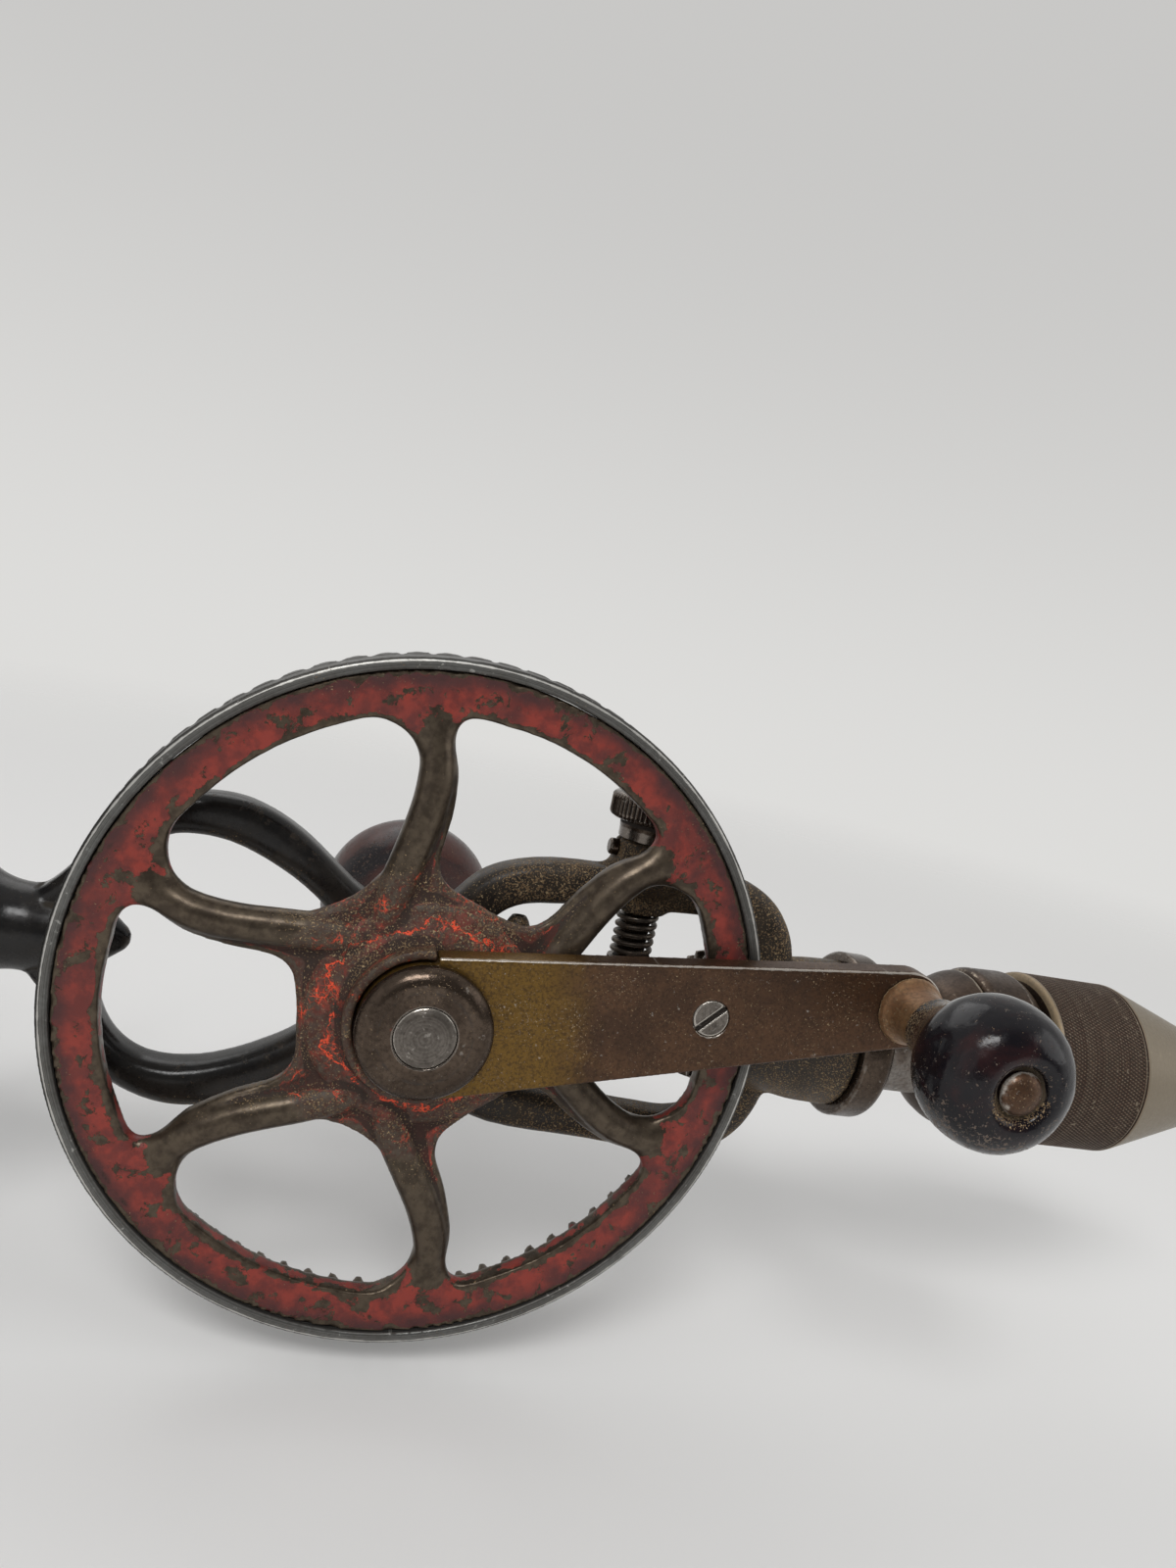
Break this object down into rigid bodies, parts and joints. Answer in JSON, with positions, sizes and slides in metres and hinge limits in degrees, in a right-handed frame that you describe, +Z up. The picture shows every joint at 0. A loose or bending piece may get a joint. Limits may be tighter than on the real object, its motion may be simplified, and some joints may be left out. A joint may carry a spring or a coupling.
{
  "type": "breast drill",
  "caption": "Hand cranked breast drill with a spoked bevel drive wheel, looped cast frame, side handle, breast plate and a chuck that closes on the drill.",
  "frame": {"origin": "on the spindle's axis at the mouth of the chuck's jaws", "axes": "+X along the spindle, out of the chuck; +Z up; the crank is on the -Y side and the side handle on +Y"},
  "size_m": [0.2882, 0.1216, 0.126],
  "materials": {
    "black_enamel": "glossy black enamel, worn and dusty in its corners",
    "red_enamel": "dark red enamel, crackled, worn to bare iron on its ridges",
    "arm_steel": "brown patina over steel, brighter along its edges",
    "dark_steel": "dark polished steel with a light brown patina",
    "spindle_steel": "turned steel, greyish brown",
    "chuck_steel": "steel with a brown patina",
    "nose_steel": "grey turned steel, fine knurl at its rear",
    "jaw_steel": "hardened steel, plain",
    "hard_steel": "ground steel, oiled",
    "spring_steel": "drawn steel wire",
    "plain_bronze": "plain bearing bronze, oiled",
    "ferrule_brass": "brass, tarnished brown",
    "knob_wood": "turned hardwood with worn black varnish",
    "handle_wood": "turned hardwood, dark red brown varnish"
  },
  "bodies": {
    "frame": {"frame_casting": "black_enamel", "breast_plate": "black_enamel", "breast_plate_bolt": "dark_steel", "breast_plate_dowel": "hard_steel", "axle": "dark_steel", "axle_collar": "dark_steel", "hub_washer": "hard_steel", "side_handle_bolt": "dark_steel", "side_handle_ferrule": "dark_steel", "side_handle": "handle_wood", "rear_bush": "plain_bronze", "front_bush": "plain_bronze", "thrust_race_rear": "hard_steel", "thrust_balls": "hard_steel", "bearing_cap": "dark_steel", "latch_guide_screw": "dark_steel", "latch_spring": "spring_steel"},
    "latch": {"latch_pin": "dark_steel", "latch_knob": "dark_steel"},
    "wheel": {"drive_wheel": "red_enamel", "crank_arm": "arm_steel", "crank_arm_screw": "dark_steel", "knob_pin": "arm_steel"},
    "knob": {"knob_ferrule": "ferrule_brass", "crank_knob": "knob_wood"},
    "spindle": {"spindle": "spindle_steel", "pinion": "dark_steel", "pinion_pin": "dark_steel", "thrust_race_front": "hard_steel", "chuck_back": "chuck_steel", "chuck_ring": "chuck_steel"},
    "shell": {"chuck_shell": "nose_steel", "shell_ring": "chuck_steel"},
    "carrier": {"jaw_carrier": "jaw_steel"},
    "jaw_1": {"chuck_jaw_1": "jaw_steel"},
    "jaw_2": {"chuck_jaw_2": "jaw_steel"},
    "jaw_3": {"chuck_jaw_3": "jaw_steel"}
  },
  "joints": [
    {"name": "wheel_spin", "type": "hinge", "parent": "frame", "child": "wheel", "pos_m": [-0.171, 0, 0], "axis": [0, 1, 0], "continuous": true},
    {"name": "spindle_spin", "type": "hinge", "parent": "frame", "child": "spindle", "pos_m": [-0.171, 0, 0], "axis": [1, 0, 0], "continuous": true},
    {"name": "knob_spin", "type": "hinge", "parent": "wheel", "child": "knob", "pos_m": [-0.09057, -0.04, 0.01375], "axis": [0, 1, 0], "continuous": true},
    {"name": "latch_lift", "type": "slide", "parent": "frame", "child": "latch", "axis": [0, 0, 1], "range_m": [0, 0.0026], "stiffness_N_per_m": 300, "springref_m": -0.006, "deforming": ["latch_spring"]},
    {"name": "shell_turn", "type": "hinge", "parent": "spindle", "child": "shell", "pos_m": [0, 0, 0], "axis": [1, 0, 0], "range_deg": [-1358, 810]},
    {"name": "carrier_slide", "type": "slide", "parent": "shell", "child": "carrier", "axis": [1, 0, 0], "range_m": [-0.0095, 0.0057]},
    {"name": "jaw_1_slide", "type": "slide", "parent": "shell", "child": "jaw_1", "axis": [0.9493, 0, -0.3142], "range_m": [-0.01015, 0.00605]},
    {"name": "jaw_2_slide", "type": "slide", "parent": "shell", "child": "jaw_2", "axis": [0.9493, 0.2721, 0.1571], "range_m": [-0.01015, 0.00605]},
    {"name": "jaw_3_slide", "type": "slide", "parent": "shell", "child": "jaw_3", "axis": [0.9493, -0.2721, 0.1571], "range_m": [-0.01015, 0.00605]}
  ],
  "couplings": [
    {"joint": "spindle_spin", "follows": "wheel_spin", "ratio": 5},
    {"joint": "shell_turn", "follows": "carrier_slide", "rad_per_m": 2473.7},
    {"joint": "jaw_1_slide", "follows": "carrier_slide", "ratio": 1.0534},
    {"joint": "jaw_2_slide", "follows": "carrier_slide", "ratio": 1.0534},
    {"joint": "jaw_3_slide", "follows": "carrier_slide", "ratio": 1.0534}
  ]
}
